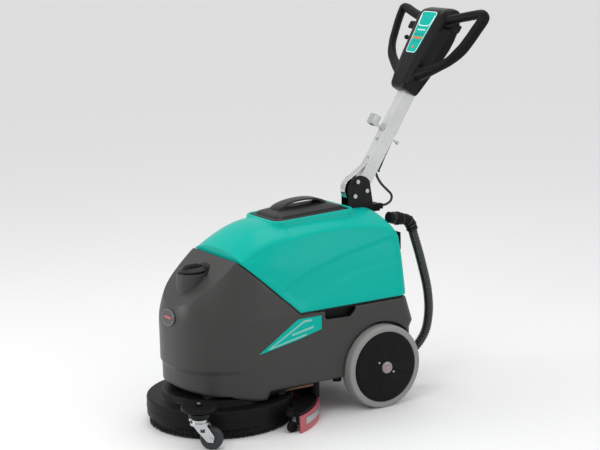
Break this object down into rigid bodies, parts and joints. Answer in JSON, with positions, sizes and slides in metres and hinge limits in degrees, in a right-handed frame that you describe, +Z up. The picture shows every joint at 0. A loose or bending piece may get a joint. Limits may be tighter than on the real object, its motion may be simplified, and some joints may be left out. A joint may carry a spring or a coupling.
{
  "type": "wet dry floor scrubber",
  "caption": "Walk-behind wet-dry floor scrubber with a round brush deck, curved squeegee, stacked tanks, large rear wheels and a folding handle.",
  "frame": {"origin": "on the floor, under the middle of the bounding box", "axes": "+X towards the front (brush end), +Y to the machine's left, +Z up"},
  "size_m": [1.2087, 0.5984, 1.293],
  "materials": {
    "body_plastic": "textured satin",
    "teal_plastic": "satin",
    "black_plastic": "fine texture",
    "soft_grip": "satin",
    "black_rubber": "matte",
    "black_steel": "satin",
    "column_paint": "silver satin",
    "zinc": "zinc plated",
    "chrome": "polished",
    "grey_tyre": "matte",
    "red_blade": "translucent satin",
    "copper_paint": "satin",
    "copper_winding": "lacquered",
    "bristle_nylon": "matte",
    "battery_case": "matte",
    "float_plastic": "satin",
    "orange_key": "satin"
  },
  "bodies": {
    "chassis": {"chassis_frame": "black_steel", "solution_tank": "body_plastic", "recovery_tank": "teal_plastic", "tank_seal": "black_rubber", "vacuum_motor": "zinc", "batteries": "battery_case", "float_valve": "float_plastic", "side_decals": "teal_plastic", "front_badge": "black_plastic", "drain_caps": "black_plastic", "axle": "zinc", "deck_shroud": "black_plastic", "deck_bolts": "zinc", "brush_motor": "zinc", "caster_bracket": "black_steel", "lift_brackets": "black_steel", "hinge_plates": "black_steel", "hinge_bolts": "zinc", "cable_box": "black_plastic", "harness_loop": "black_rubber", "hose_fitting": "black_plastic", "suction_hose": "black_rubber", "suction_pipe": "black_plastic", "rear_bumper": "black_rubber"},
    "lid": {"lid": "black_plastic", "lid_gasket": "black_rubber"},
    "cap_seal": {"filler_gasket": "black_rubber"},
    "cap": {"filler_cap": "black_plastic"},
    "left_wheel": {"tyre_left": "grey_tyre", "hub_left": "black_plastic", "hub_cap_left": "chrome"},
    "right_wheel": {"tyre_right": "grey_tyre", "hub_right": "black_plastic", "hub_cap_right": "chrome"},
    "brush": {"drive_hub": "zinc", "brush_plate": "black_plastic", "bristles": "bristle_nylon"},
    "rotor": {"motor_rotor": "copper_winding"},
    "bumper": {"bumper_roller": "black_plastic"},
    "fork": {"caster_fork": "zinc", "caster_axle": "zinc"},
    "small_wheel": {"caster_wheel": "grey_tyre"},
    "squeegee": {"squeegee_frame": "black_plastic", "blade_front": "red_blade", "blade_rear": "red_blade", "blade_clamp": "zinc"},
    "left_end_roller": {"end_roller_left": "black_plastic"},
    "right_end_roller": {"end_roller_right": "black_plastic"},
    "links": {"lift_links": "copper_paint"},
    "handle": {"column_tube": "column_paint", "fold_strap": "chrome", "column_cable": "black_rubber", "cord_hooks": "zinc", "head_front": "black_plastic", "head_rear": "black_plastic", "display_panel": "teal_plastic", "handle_loops": "soft_grip"},
    "left_lever": {"trigger_left": "black_plastic"},
    "right_lever": {"trigger_right": "black_plastic"},
    "key": {"power_button": "orange_key"}
  },
  "joints": [
    {"name": "lid_lift", "type": "slide", "parent": "chassis", "child": "lid", "axis": [0, 0, 1], "range_m": [0, 0.1]},
    {"name": "cap_lift", "type": "slide", "parent": "chassis", "child": "cap_seal", "axis": [0, 0, 1], "range_m": [0, 0.05]},
    {"name": "cap_turn", "type": "hinge", "parent": "cap_seal", "child": "cap", "pos_m": [0.42935, 0, 0.506], "axis": [0, 0, 1], "range_deg": [0, 90]},
    {"name": "left_wheel_spin", "type": "hinge", "parent": "chassis", "child": "left_wheel", "pos_m": [-0.15865, 0.205, 0.14], "axis": [0, 1, 0], "continuous": true},
    {"name": "right_wheel_spin", "type": "hinge", "parent": "chassis", "child": "right_wheel", "pos_m": [-0.15865, -0.205, 0.14], "axis": [0, 1, 0], "continuous": true},
    {"name": "brush_spin", "type": "hinge", "parent": "chassis", "child": "brush", "pos_m": [0.34135, 0, 0.08], "axis": [0, 0, 1], "continuous": true},
    {"name": "rotor_spin", "type": "hinge", "parent": "chassis", "child": "rotor", "pos_m": [0.34135, 0, 0.2], "axis": [0, 0, 1], "continuous": true},
    {"name": "bumper_spin", "type": "hinge", "parent": "chassis", "child": "bumper", "pos_m": [0.54735, 0.239, 0.132], "axis": [0, 0, 1], "continuous": true},
    {"name": "caster_swivel", "type": "hinge", "parent": "chassis", "child": "fork", "pos_m": [0.54735, 0.239, 0.088], "axis": [0, 0, 1], "continuous": true},
    {"name": "caster_spin", "type": "hinge", "parent": "fork", "child": "small_wheel", "pos_m": [0.51901, 0.26278, 0.036], "axis": [-0.6428, -0.766, 0], "continuous": true},
    {"name": "squeegee_lift", "type": "slide", "parent": "chassis", "child": "squeegee", "axis": [0, 0, 1], "range_m": [0, 0.018]},
    {"name": "link_swing", "type": "hinge", "parent": "chassis", "child": "links", "pos_m": [0.20335, 0, 0.104], "axis": [0, 1, 0], "range_deg": [0, 8]},
    {"name": "left_roller_spin", "type": "hinge", "parent": "squeegee", "child": "left_end_roller", "pos_m": [0.23135, 0.27, 0.018], "axis": [0, 1, 0], "continuous": true},
    {"name": "right_roller_spin", "type": "hinge", "parent": "squeegee", "child": "right_end_roller", "pos_m": [0.23135, -0.27, 0.018], "axis": [0, 1, 0], "continuous": true},
    {"name": "handle_fold", "type": "hinge", "parent": "chassis", "child": "handle", "pos_m": [-0.23379, 0, 0.69412], "axis": [0, -1, 0], "range_deg": [-92, 30], "deforming": ["harness_loop"]},
    {"name": "left_lever_squeeze", "type": "hinge", "parent": "handle", "child": "left_lever", "pos_m": [-0.5374, 0, 1.22348], "axis": [0, 1, 0], "range_deg": [0, 15], "stiffness_Nm_per_rad": 0.4, "springref_deg": -17.19},
    {"name": "right_lever_squeeze", "type": "hinge", "parent": "handle", "child": "right_lever", "pos_m": [-0.5374, 0, 1.22348], "axis": [0, 1, 0], "range_deg": [0, 15], "stiffness_Nm_per_rad": 0.4, "springref_deg": -17.19},
    {"name": "power_press", "type": "slide", "parent": "handle", "child": "key", "axis": [-0.8339, 0, -0.5519], "range_m": [0, 0.001], "stiffness_N_per_m": 300, "springref_m": -0.002}
  ],
  "couplings": [
    {"joint": "rotor_spin", "follows": "brush_spin", "ratio": 12},
    {"joint": "link_swing", "follows": "squeegee_lift", "rad_per_m": 7.46}
  ]
}
